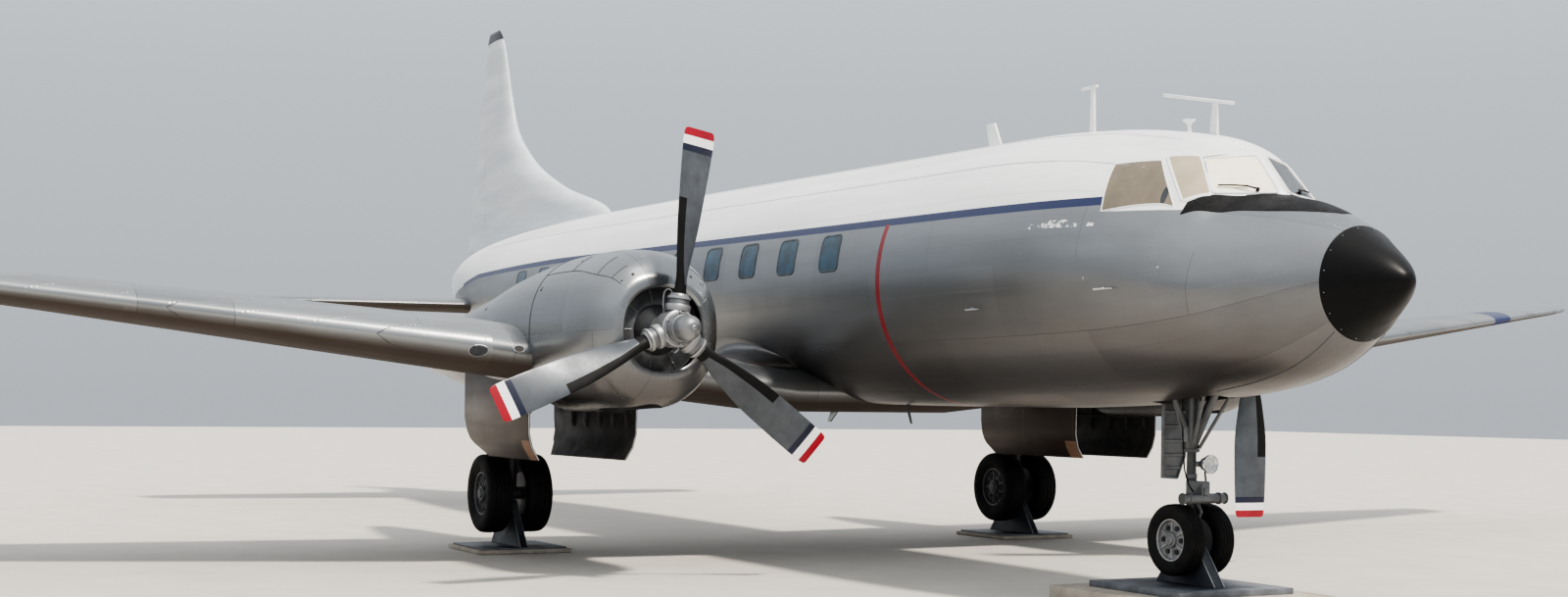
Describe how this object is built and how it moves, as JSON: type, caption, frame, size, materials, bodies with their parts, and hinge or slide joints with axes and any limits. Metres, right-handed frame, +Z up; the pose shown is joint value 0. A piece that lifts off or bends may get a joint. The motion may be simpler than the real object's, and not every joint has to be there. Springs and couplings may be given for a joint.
{
  "type": "twin engine military transport aeroplane",
  "caption": "Low-wing piston transport on three display stands, with turning propellers and wheels, hinged flaps, ailerons, tail surfaces and an airstair door.",
  "frame": {"origin": "middle of the bounding box in plan, on the ground under the stands' pads", "axes": "+X towards the nose, +Y to the left wing, +Z up"},
  "size_m": [24.8266, 32.1, 8.796],
  "materials": {
    "bare_metal": "satin",
    "white_paint": "gloss",
    "black_paint": "satin",
    "cockpit_screen": "matte",
    "engine_grey": "matte",
    "gear_paint": "satin",
    "stand_steel": "satin",
    "concrete": "rough",
    "propeller_grey": "satin",
    "wheel_paint": "satin",
    "tyre": "matte"
  },
  "bodies": {
    "airframe": {"radome": "black_paint", "nose_section": "white_paint", "cockpit_glazing": "cockpit_screen", "entry_section": "white_paint", "cabin": "white_paint", "rear_cabin": "white_paint", "tail_end": "bare_metal", "fin": "white_paint", "tailplane": "bare_metal", "wing_centre": "bare_metal", "wing_left": "bare_metal", "wing_right": "bare_metal", "nacelle_left": "bare_metal", "cowl_left": "bare_metal", "engine_left": "engine_grey", "main_leg_left": "gear_paint", "gear_door_outer_left": "bare_metal", "gear_door_inner_left": "bare_metal", "main_stand_left": "stand_steel", "main_pad_left": "concrete", "nacelle_right": "bare_metal", "cowl_right": "bare_metal", "engine_right": "engine_grey", "main_leg_right": "gear_paint", "gear_door_outer_right": "bare_metal", "gear_door_inner_right": "bare_metal", "main_stand_right": "stand_steel", "main_pad_right": "concrete", "nose_leg": "gear_paint", "nose_door": "gear_paint", "nose_pad": "concrete", "nose_stand": "stand_steel", "aerial_mast_front": "white_paint", "aerial_mast_rear": "white_paint", "aerial_blade_top": "white_paint", "aerial_blade_belly": "bare_metal", "aerial_post_belly": "black_paint"},
    "propeller_left": {"propeller_left": "propeller_grey"},
    "main_wheels_left": {"main_hubs_left": "wheel_paint", "main_tyre_outer_left": "tyre", "main_tyre_inner_left": "tyre"},
    "flap_left": {"flap_inner_left": "bare_metal", "flap_outer_left": "bare_metal"},
    "aileron_left": {"aileron_left": "bare_metal"},
    "propeller_right": {"propeller_right": "propeller_grey"},
    "main_wheels_right": {"main_hubs_right": "wheel_paint", "main_tyre_outer_right": "tyre", "main_tyre_inner_right": "tyre"},
    "flap_right": {"flap_inner_right": "bare_metal", "flap_outer_right": "bare_metal"},
    "aileron_right": {"aileron_right": "bare_metal"},
    "nose_wheels": {"nose_hubs": "wheel_paint", "nose_tyre_left": "tyre", "nose_tyre_right": "tyre"},
    "rudder": {"rudder": "white_paint"},
    "elevator": {"elevator_left": "bare_metal", "elevator_right": "bare_metal"},
    "airstair_door": {"airstair_door": "white_paint"}
  },
  "joints": [
    {"name": "propeller_spin_left", "type": "hinge", "parent": "airframe", "child": "propeller_left", "pos_m": [6.218, 3.81, 2.623], "axis": [1, 0, 0], "continuous": true},
    {"name": "main_wheels_spin_left", "type": "hinge", "parent": "airframe", "child": "main_wheels_left", "pos_m": [1.3, 3.81, 0.713], "axis": [0, 1, 0], "continuous": true},
    {"name": "flap_hinge_left", "type": "hinge", "parent": "airframe", "child": "flap_left", "pos_m": [1.55168, 1.64, 2.11751], "axis": [0.0883, -0.99, -0.1099], "range_deg": [0, 40]},
    {"name": "aileron_hinge_left", "type": "hinge", "parent": "airframe", "child": "aileron_left", "pos_m": [0.73042, 9.6, 2.99678], "axis": [0.1143, -0.9876, -0.1079], "range_deg": [-20, 20]},
    {"name": "propeller_spin_right", "type": "hinge", "parent": "airframe", "child": "propeller_right", "pos_m": [6.218, -3.81, 2.623], "axis": [1, 0, 0], "continuous": true},
    {"name": "main_wheels_spin_right", "type": "hinge", "parent": "airframe", "child": "main_wheels_right", "pos_m": [1.3, -3.81, 0.713], "axis": [0, 1, 0], "continuous": true},
    {"name": "flap_hinge_right", "type": "hinge", "parent": "airframe", "child": "flap_right", "pos_m": [1.55168, -1.64, 2.11751], "axis": [-0.0883, -0.99, 0.1099], "range_deg": [0, 40]},
    {"name": "aileron_hinge_right", "type": "hinge", "parent": "airframe", "child": "aileron_right", "pos_m": [0.73042, -9.6, 2.99678], "axis": [-0.1143, -0.9876, 0.1079], "range_deg": [-20, 20]},
    {"name": "nose_wheels_spin", "type": "hinge", "parent": "airframe", "child": "nose_wheels", "pos_m": [9.7, 0, 0.631], "axis": [0, 1, 0], "continuous": true},
    {"name": "rudder_hinge", "type": "hinge", "parent": "airframe", "child": "rudder", "pos_m": [-10.7, 0, 4.7], "axis": [0.0362, 0, 0.9993], "range_deg": [-20, 20]},
    {"name": "elevator_hinge", "type": "hinge", "parent": "airframe", "child": "elevator", "pos_m": [-10.32, 0, 3.56], "axis": [0, -1, 0], "range_deg": [-25, 20]},
    {"name": "airstair_hinge", "type": "hinge", "parent": "airframe", "child": "airstair_door", "pos_m": [7.8, 1.224, 2.56], "axis": [-1, 0, 0], "range_deg": [0, 125]}
  ],
  "couplings": [
    {"joint": "aileron_hinge_right", "follows": "aileron_hinge_left", "ratio": -1},
    {"joint": "flap_hinge_right", "follows": "flap_hinge_left", "ratio": 1}
  ]
}
